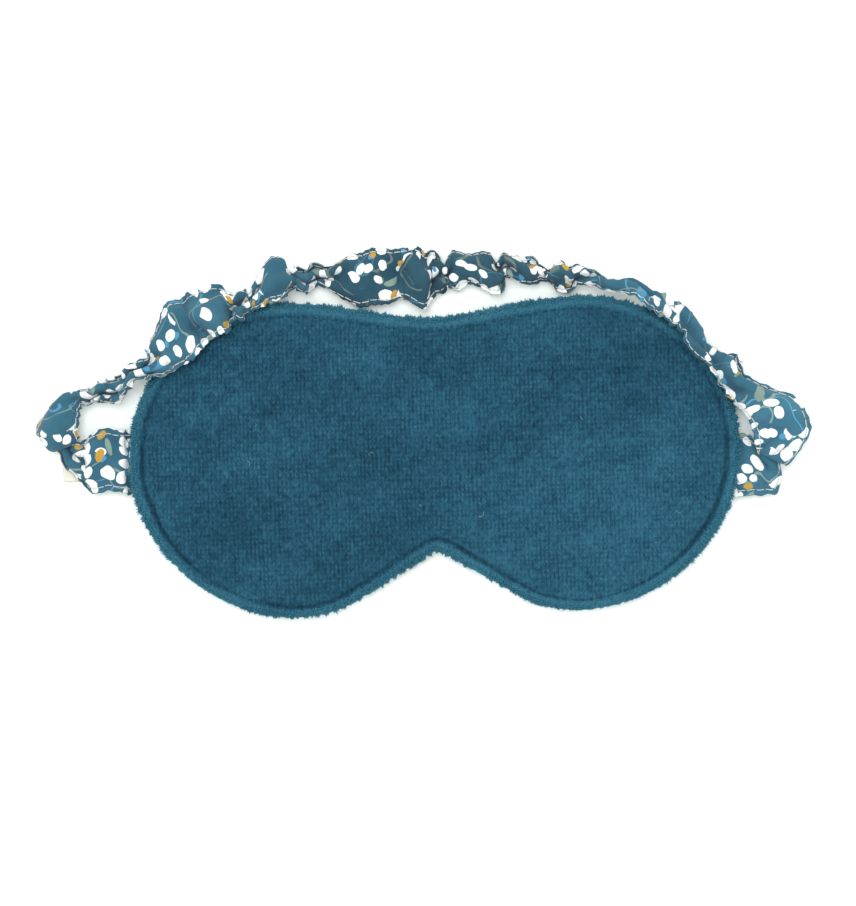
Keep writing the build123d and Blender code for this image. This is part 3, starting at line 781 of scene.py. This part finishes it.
class Strap:
    """The casing's middle surface: rows along it, columns across it from the outer to the inner edge."""

    COLUMNS = 31
    FINE = 120  # steps across, while the folds are worked out

    def __init__(self, left, main, right, spacing=0.4):
        self.t = np.linspace(0, 1, self.COLUMNS)
        self.lay_rungs(left, main, right, spacing)
        run, rise, arc = self.folds()
        self.points = self.gathers(run, rise)
        self.keep_off_the_mask()
        self.lay_cloth(arc)
        self.shade_print()
        from_edge = np.minimum(self.t, 1 - self.t) * CLOTH_WIDTH
        seam = np.exp(-((from_edge - STITCH_INSET) / 0.5) ** 2)
        self.puff = 0.2 + 0.34 * smooth(1.9, 6.0, from_edge) - 0.08 * seam

    def lay_rungs(self, left, main, right, spacing):
        """A smooth, even ladder through the rungs, and the directions along, across and out of it."""
        rungs = np.array(left + main + right, float)
        middle = (rungs[:, 0:3] + rungs[:, 3:6]) / 2
        knots = np.concatenate([[0], np.cumsum(np.linalg.norm(np.diff(middle, axis=0), axis=1) + 0.3)])
        count = int(knots[-1] / spacing)
        s = np.linspace(0, knots[-1], count + 1)
        joins = [int(knots[k] / knots[-1] * count) for k in (len(left) - 1, len(left) + len(main) - 1)]
        cuts = zip(("left", "main", "right"), (0, *joins), (*joins, count))
        self.rows = {name: slice(first, last + 1) for name, first, last in cuts}
        rows = through(knots, rungs, s)
        self.outer, self.inner = rows[:, 0:3], rows[:, 3:6]
        self.gather = np.clip(rows[:, 6], 0, 1.2)[:, None]
        self.arch = np.clip(rows[:, 7], 0, 1)[:, None]
        self.free = 1 + np.clip(rows[:, 7], -1, 0)[:, None]
        self.place = s[:, None]
        self.width = np.linalg.norm(self.inner - self.outer, axis=1)
        self.across = unit(self.inner - self.outer)
        ahead = unit(np.gradient((self.outer + self.inner) / 2, s, axis=0))
        padded = np.pad(ahead, ((2, 2), (0, 0)), mode="edge")
        ahead = [np.convolve(padded[:, k], np.ones(5) / 5, "valid") for k in range(3)]
        self.ahead = unit(np.stack(ahead, 1))
        self.normal = unit(np.cross(self.across, self.ahead))

    def folds(self):
        """Folds along the strap, from the width the cloth has to lose: run across, rise and cloth used."""
        place, arch, width = self.place, self.arch, self.width
        fine = np.linspace(0, 1, self.FINE + 1)[None]
        wander = 1.0 * np.sin(place / 3.4) + 1.5 * np.sin(place / 7.3 + 1.0)
        ratio = np.clip(width / CLOTH_WIDTH, 0.42, 1)
        waving = fold_angle(1 - 0.76 * (1 - ratio))[:, None]
        arching = fold_angle(np.clip(ratio, 0.80, 1))[:, None]
        waves = (3.6 + 0.8 * np.sin(place / 11)) * math.pi
        tilt = (1 - arch) * self.free * waving * np.sin(waves * fine + wander)
        tilt = tilt + arch * arching * np.cos(math.pi * fine)
        run = np.cumsum(np.cos(tilt), axis=1) / self.FINE
        rise = np.cumsum(np.sin(tilt), axis=1) / self.FINE * CLOTH_WIDTH
        run = run - run[:, :1]
        rise = rise - rise[:, :1]
        rise = rise - rise[:, -1:] * fine
        run = run / run[:, -1:]
        step = np.hypot(np.gradient(run, axis=1) * width[:, None], np.gradient(rise, axis=1))
        arc = np.cumsum(step, axis=1)
        pick = np.linspace(0, self.FINE, self.COLUMNS).astype(int)
        return run[:, pick], rise[:, pick] * 0.8, arc[:, pick]

    def gathers(self, run, rise):
        """Gathers across the strap: sharp-topped, broken up, larger at the free edges than in the middle."""
        place, gather, free, t = self.place, self.gather, self.free, self.t[None]
        edge = np.abs(2 * t - 1)
        side = np.sign(t - 0.5)
        across_mm = t * 22
        shift = 1.3 * ripple(place, across_mm * 1.6, 41, 17.0) + 0.9 * ripple(place, across_mm, 42, 8.0)
        phase = place * 2 * math.pi / GATHER_PITCH + 1.0 * np.sin(place / 5.3)
        phase = phase + 1.6 * np.sin(place / 13.0 + 2) + 1.5 * shift
        ridge = np.sin(phase + 0.55 * np.sin(phase))
        uneven = 1 + 0.55 * ripple(place, across_mm, 43, 9.0)
        strength = (0.5 + 1.0 * edge ** 2) * gather * uneven
        beat = np.sin(place * 2 * math.pi / 6.1 + side * 1.7 + 0.9 * np.sin(place / 4.1))
        flutter = (0.22 + 0.45 * gather) * edge ** 4 * beat
        crumple = 0.13 * ripple(place, across_mm, 31, 4.0) * (0.6 + gather) * free
        dent = 0.35 * ripple(place, across_mm, 32, 13.0) * (1 - gather) * free * (1 - edge ** 2)
        bump = rise + strength * ridge + flutter * free + crumple + dent
        points = self.outer[:, None] + (self.inner - self.outer)[:, None] * run[:, :, None]
        points = points + self.normal[:, None] * bump[:, :, None]
        lean = (0.5 * gather * (0.5 + edge) * np.cos(phase))[:, :, None]
        sway = 0.6 * gather * np.sin(place * 2 * math.pi / 5.7 + 2 * np.sin(place / 8.0) + side)
        quiver = np.sin(place * 2 * math.pi / 3.1 + 3 * np.sin(place / 6.0) + side * 2)
        sway = sway + 0.16 * free * quiver
        points = points + self.ahead[:, None] * lean
        points = points + self.across[:, None] * (sway * side * edge ** 3)[:, :, None]
        points[:, :, 2] = np.maximum(points[:, :, 2], 0.75 + 0.1 * ridge)
        return points

    def keep_off_the_mask(self):
        """Lift the free part of the strap where it would sink into the terry."""
        free_part = self.points[self.rows["main"]]
        free_part[:, :, 2] = np.maximum(free_part[:, :, 2], over_mask(free_part))

    def lay_cloth(self, arc):
        """Surface normals, and how much cloth has been used along and across each point."""
        points = self.points
        along = unit(np.gradient(points, axis=0))
        sideways = unit(np.gradient(points, axis=1))
        self.normals = unit(np.cross(sideways, along))
        used = np.linalg.norm(np.diff(points, axis=0), axis=2)
        self.cloth = np.concatenate([[0], np.cumsum(used[:, 6:25].mean(1))])
        half = arc - arc[:, self.COLUMNS // 2][:, None]
        self.uv = np.stack([np.repeat(self.cloth[:, None], self.COLUMNS, 1), half + CLOTH_WIDTH / 2], 2)

    def shade_print(self):
        """Where no motif happens to fall, and the painted light and shade along the strap: darker through its
        middle, lighter at its right end.
        """
        x, y = self.points[:, :, 0], self.points[:, :, 1]
        self.plain = np.zeros(x.shape)
        for spot_x, spot_y, long, wide in PLAIN:
            near = np.hypot(x - spot_x, y - spot_y)
            row, column = np.unravel_index(np.argmin(near), near.shape)
            if near[row, column] < 3:
                reach = (self.uv - self.uv[row, column]) / (long, wide)
                self.plain = np.maximum(self.plain, np.exp(-0.7 * (reach ** 2).sum(2) ** 2))
        # painted shade through the strap's middle and painted light at its right end
        self.dye = 0.22 * smooth(98, 112, x) - 0.36 * smooth(-44, -32, x) * (1 - smooth(40, 60, x))

    def tube(self, name, part, material, low=0.0, high=1.0, puff=None):
        """A closed two-ply tube of one part of the strap, between two places across it."""
        keep = np.where((self.t >= low - 1e-6) & (self.t <= high + 1e-6))[0]
        puff = self.puff if puff is None else np.full(self.COLUMNS, puff)
        points, normals, uv, plain, dye = (grid[self.rows[part]][:, keep] for grid in
                                           (self.points, self.normals, self.uv, self.plain, self.dye))
        out = normals * puff[keep][None, :, None]
        ring = np.concatenate([points + out, (points - out)[:, ::-1]], 1)
        uv = np.concatenate([uv, uv[:, ::-1] * (1, -1) + (13.0, 31.0)], 1)
        plain = np.concatenate([plain, 0 * plain], 1)
        dye = np.concatenate([dye, dye[:, ::-1]], 1)
        return mesh_piece(name, ring.reshape(-1, 3), two_ply_faces(*ring.shape[:2]), material,
                          uv=uv.reshape(-1, 2) * MM, plain=plain, dye=dye)

    def at(self, cloth, t, face, lift):
        """Points over the casing's upper (1) or lower (-1) side, at lengths along and one place across."""
        row = np.interp(cloth, self.cloth, np.arange(len(self.cloth)))
        i = np.clip(row.astype(int), 0, len(self.cloth) - 2)
        f = (row - i)[:, None]
        column = t * (self.COLUMNS - 1)
        j = int(min(column, self.COLUMNS - 2))
        g = column - j
        out = []
        for grid in (self.points, self.normals):
            a = grid[i, j] * (1 - g) + grid[i, j + 1] * g
            b = grid[i + 1, j] * (1 - g) + grid[i + 1, j + 1] * g
            out.append(a * (1 - f) + b * f)
        puff = np.interp(t, self.t, self.puff)
        return out[0] + unit(out[1]) * (face * (puff + lift))[:, None]

    def stitches(self, name, part, material, pitch=2.7):
        """Topstitching along both edges, on both sides of the casing."""
        begin, finish = self.cloth[self.rows[part]][[0, -1]]
        shape = np.array([0.0, 0.12, 0.5, 0.88, 1.0])
        height = np.array([-0.08, 0.12, 0.18, 0.12, -0.08])
        lines = []
        for t in (STITCH_INSET / CLOTH_WIDTH, 1 - STITCH_INSET / CLOTH_WIDTH):
            for face in (1, -1):
                for k in range(int((finish - begin) / pitch)):
                    where = np.clip(begin + pitch * (k + 0.06 + 0.86 * shape), begin, finish)
                    lines.append(self.at(where, t, face, height))
        return threads(name, lines, [0.1, 0.17, 0.17, 0.17, 0.1], 5, (0.02, 0.03, 1.0), material)


strap = Strap(LEFT_END, MAIN, RIGHT_END)

SUFFIX = {"left": "_left", "main": "", "right": "_right"}
casing = {part: strap.tube("strap_casing" + end, part, PRINT) for part, end in SUFFIX.items()}
elastic = {part: strap.tube("strap_elastic" + end, part, ELASTIC, 0.33, 0.67, 0.2)
           for part, end in SUFFIX.items()}
stitches = {part: strap.stitches("strap_topstitch" + end, part, WHITE_THREAD)
            for part, end in SUFFIX.items()}


# ---- care label

def label_piece():
    """A blank folded tape: out of the side seam, down to the surface and along it, and back under itself."""
    route = np.array([(-98.5, 2.3), (-101.5, 2.2), (-105.0, 1.7), (-109.0, 1.15), (-114.0, 0.86),
                      (-120.0, 0.80), (-124.6, 0.78), (-125.9, 0.62), (-126.1, 0.42), (-125.6, 0.24),
                      (-120.0, 0.22), (-113.0, 0.24), (-108.0, 0.5), (-103.0, 1.3), (-99.0, 1.7)])
    knots = np.concatenate([[0], np.cumsum(np.linalg.norm(np.diff(route, axis=0), axis=1))])
    s = np.linspace(0, knots[-1], 120)
    line = through(knots, route, s)
    line[:, 1] = np.maximum(line[:, 1], 0.16)
    way = unit(np.gradient(line, axis=0))
    normal = np.stack([way[:, 1], -way[:, 0]], 1)
    s, y = np.meshgrid(s, np.linspace(-5.6, 8.4, 19), indexing="ij")
    sway = 0.12 * np.sin(y / 2.5 + s / 7.0)
    plies = []
    for sign in (1, -1):
        side = line + normal * 0.07 * sign
        plies.append(np.stack([side[:, :1] + sway, y + 0.25 * np.sin(s / 9.0), side[:, 1:] + 0 * s], 2))
    ring = np.concatenate([plies[0], plies[1][:, ::-1]], 1)
    uv = np.stack([s, y], 2)
    uv = np.concatenate([uv, uv[:, ::-1]], 1).reshape(-1, 2) * MM
    return mesh_piece("label_tape", ring.reshape(-1, 3), two_ply_faces(*ring.shape[:2]), TAPE, uv=uv)


label = label_piece()


# ---- topstitching round the mask

def ring_stitches(name, height, lift, material, pitch=3.0):
    """Stitches round the mask in its topstitch groove."""
    edge, inward = outline(2 * PERIMETER)
    near = edge + inward * GROOVE
    inset = groove_at(near[:, 0], near[:, 1])
    path = edge + inward * inset[:, None]
    length = np.concatenate([[0], np.cumsum(np.linalg.norm(np.diff(path, axis=0), axis=1))])
    lines = []
    for k in range(int(length[-1] / pitch)):
        where = pitch * (k + 0.06 + 0.86 * np.array([0.0, 0.15, 0.5, 0.85, 1.0]))
        x, y = (np.interp(where, length, path[:, a]) for a in (0, 1))
        z = height(np.interp(where, length, inset), x, y) + lift * np.array([-0.3, 0.6, 1.0, 0.6, -0.3])
        lines.append(np.column_stack([x, y, z]))
    return threads(name, lines, [0.2] * 5, 5, (0.0, 0.0, 1.0), material)


needle = ring_stitches("topstitch_needle", terry_height, -0.3, TEAL_THREAD)
bobbin = ring_stitches("topstitch_bobbin", under_height, -0.12, TEAL_THREAD)


def lint_fibres():
    """A few pale lint fibres caught on the pile."""
    local = np.random.default_rng(11)
    lines = []
    for _ in range(8):
        x, y = local.uniform(-85, 85), local.uniform(-36, 36)
        length, turn, bend = local.uniform(0.8, 2.6), local.uniform(0, 6.3), local.uniform(-2, 2)
        t = np.linspace(0, 1, 7)
        line_x = x + length * t * np.cos(turn + bend * t)
        line_y = y + length * t * np.sin(turn + bend * t)
        z = terry_height(np.full(7, 30.0), line_x, line_y) + 0.05 + 0.25 * np.sin(math.pi * t)
        lines.append(np.column_stack([line_x, line_y, z]))
    return threads("lint", lines, [0.07] * 7, 4, (0.1, 0.0, 1.0), LINT)


lint = lint_fibres()


# ---- what each piece belongs to

for piece in (terry, under, pad, pile, label, lint, needle, bobbin):
    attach(piece, "mask")
for kind in (casing, elastic, stitches):
    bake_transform(kind["left"])
    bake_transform(kind["right"])
    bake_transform(kind["main"])

# each piece, its material slot, and the CAD nodes that it stands for
for piece, slot, *nodes in (
        (terry, "terry", "terry_panel"),
        (pile, "terry"),
        (under, "printed_cotton", "print_panel"),
        (pad, "wadding", "wadding"),
        (label, "label_tape", "care_label"),
        (needle, "thread_teal", "topstitch_needle_thread"),
        (bobbin, "thread_teal", "topstitch_bobbin_thread"),
        (casing["left"], "printed_cotton", "casing_end_left"),
        (casing["right"], "printed_cotton", "casing_end_right"),
        (casing["main"], "printed_cotton", "casing_leg_left", "casing_bow", "casing_leg_right"),
        (elastic["left"], "elastic", "elastic_end_left"),
        (elastic["right"], "elastic", "elastic_end_right"),
        (elastic["main"], "elastic", "elastic_leg_left", "elastic_bow", "elastic_leg_right"),
        (stitches["left"], "thread_white", "casing_end_stitch_left"),
        (stitches["right"], "thread_white", "casing_end_stitch_right"),
        (stitches["main"], "thread_white", *(f"{edge}_stitch_{part}" for edge in ("brow", "face")
                                             for part in ("leg_left", "bow", "leg_right")))):
    if nodes:
        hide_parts(*nodes)

for node, material in (("light_block_lining", LINING), ("edge_seam_thread", TEAL_THREAD),
                       ("strap_tack_left", WHITE_THREAD), ("strap_tack_right", WHITE_THREAD)):
    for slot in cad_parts[node].material_slots:
        slot.material = material


# ---- floor, light and camera

def floor():
    """A plain pale floor under the mask."""
    n = Nodes("white_floor")
    cloud = n.noise(n.object_mm(), 0.01, 2.0)
    colour = n.mix(cloud, (0.92, 0.98, 0.945, 1), (0.94, 1.0, 0.965, 1))
    material = n.finish(Base_Color=colour, Roughness=0.9, Specular_IOR_Level=0.1)
    mesh = bpy.data.meshes.new("floor")
    mesh.from_pydata([(-3, -3, 0), (3, -3, 0), (3, 3, 0), (-3, 3, 0)], [], [(0, 1, 2, 3)])
    mesh.materials.append(material)
    plane = bpy.data.objects.new("floor", mesh)
    bpy.context.scene.collection.objects.link(plane)


def lamp(name, place, size, power):
    """A round softbox that faces the mask."""
    light = bpy.data.lights.new(name, "AREA")
    light.shape = "DISK"
    light.size = size
    light.energy = power
    thing = bpy.data.objects.new(name, light)
    thing.location = place
    thing.rotation_euler = (-Vector(place)).to_track_quat("-Z", "Y").to_euler()
    bpy.context.scene.collection.objects.link(thing)


floor()
lamp("softbox_top", (-0.15, 0.35, 1.1), 0.9, 7.4)
lamp("softbox_fill", (0.6, -0.5, 0.9), 0.8, 2.0)

world = bpy.data.worlds.new("studio")
world.use_nodes = True
world.node_tree.nodes["Background"].inputs[0].default_value = (1, 1, 1, 1)
world.node_tree.nodes["Background"].inputs[1].default_value = 1.0
bpy.context.scene.world = world
bpy.context.scene.view_settings.view_transform = "Standard"

lens = bpy.data.cameras.new("camera")
lens.sensor_width = 36
lens.lens = 90
camera = bpy.data.objects.new("camera", lens)
camera.location = (-0.0023, 0.0011, 0.768)
camera.rotation_euler = (0, 0, math.radians(-1.5))
bpy.context.scene.collection.objects.link(camera)
bpy.context.scene.camera = camera

low, high = cad_bounds
